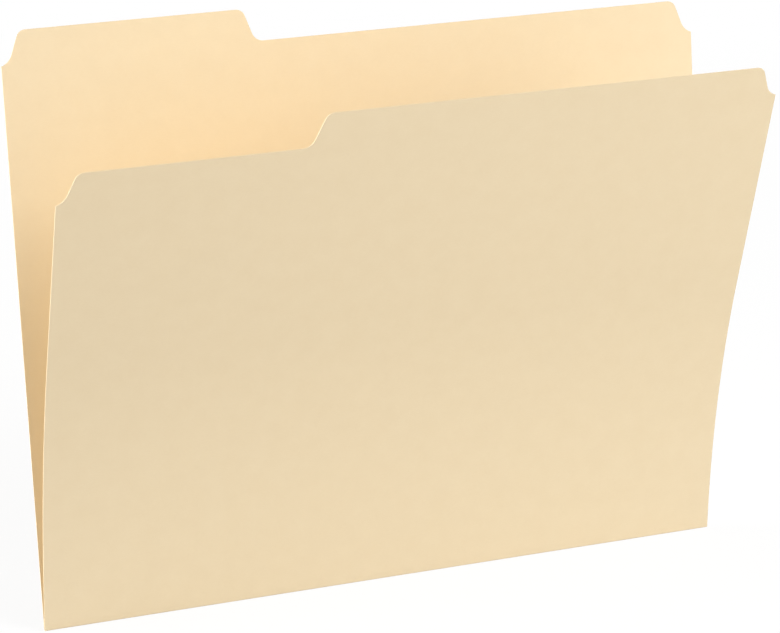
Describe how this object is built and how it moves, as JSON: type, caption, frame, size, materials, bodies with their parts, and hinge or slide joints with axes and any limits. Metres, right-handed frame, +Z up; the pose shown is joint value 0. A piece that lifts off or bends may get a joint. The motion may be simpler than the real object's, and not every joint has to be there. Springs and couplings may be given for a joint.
{
  "type": "file folder",
  "caption": "Letter-size manila card file folder, standing open on its crease, with an index tab at the top left of the back panel and the front panel cut lower in front of it.",
  "frame": {"origin": "middle of the crease's underside, on the line that the folder stands on", "axes": "+X along the crease, +Z up, -Y out of the front panel"},
  "size_m": [0.2954, 0.0859, 0.2395],
  "materials": {
    "manila_card": "matt uncoated manila card, pale buff, with a faint fibre mottle"
  },
  "bodies": {
    "crease": {"crease_strip": "manila_card"},
    "back": {"back_panel": "manila_card"},
    "score_1": {"score_strip_1": "manila_card"},
    "score_2": {"score_strip_2": "manila_card"},
    "score_3": {"score_strip_3": "manila_card"},
    "bow_1": {"bow_band_1": "manila_card"},
    "bow_2": {"bow_band_2": "manila_card"},
    "bow_3": {"bow_band_3": "manila_card"},
    "front": {"front_panel": "manila_card"}
  },
  "joints": [
    {"name": "back_fold", "type": "hinge", "parent": "crease", "child": "back", "pos_m": [0, 0.00045, 0.00014], "axis": [-1, 0, 0], "range_deg": [-8.5, 81.5]},
    {"name": "front_fold", "type": "hinge", "parent": "crease", "child": "score_1", "pos_m": [0, -0.00045, 0.00014], "axis": [1, 0, 0], "range_deg": [-1.22, 77]},
    {"name": "front_bow", "type": "hinge", "parent": "score_1", "child": "score_2", "pos_m": [0, -0.00059, 0.00649], "axis": [-1, 0, 0], "range_deg": [-0.53, 0.85]},
    {"name": "score_fold", "type": "hinge", "parent": "score_2", "child": "score_3", "pos_m": [0, -0.00081, 0.01283], "axis": [-1, 0, 0], "range_deg": [-0.53, 0.85]},
    {"name": "bow_fold_1", "type": "hinge", "parent": "score_3", "child": "bow_1", "pos_m": [0, -0.00114, 0.01918], "axis": [-1, 0, 0], "range_deg": [-1.47, 2.35]},
    {"name": "bow_fold_2", "type": "hinge", "parent": "bow_1", "child": "bow_2", "pos_m": [0, -0.00378, 0.04789], "axis": [-1, 0, 0], "range_deg": [-2.41, 3.85]},
    {"name": "bow_fold_3", "type": "hinge", "parent": "bow_2", "child": "bow_3", "pos_m": [0, -0.00835, 0.07637], "axis": [-1, 0, 0], "range_deg": [-2.41, 3.85]},
    {"name": "bow_fold_4", "type": "hinge", "parent": "bow_3", "child": "front", "pos_m": [0, -0.01481, 0.10447], "axis": [-1, 0, 0], "range_deg": [-2.41, 3.85]}
  ],
  "couplings": [
    {"joint": "score_fold", "follows": "front_bow", "ratio": 1},
    {"joint": "bow_fold_1", "follows": "front_bow", "ratio": 2.7711},
    {"joint": "bow_fold_2", "follows": "front_bow", "ratio": 4.5422},
    {"joint": "bow_fold_3", "follows": "front_bow", "ratio": 4.5422},
    {"joint": "bow_fold_4", "follows": "front_bow", "ratio": 4.5422}
  ]
}
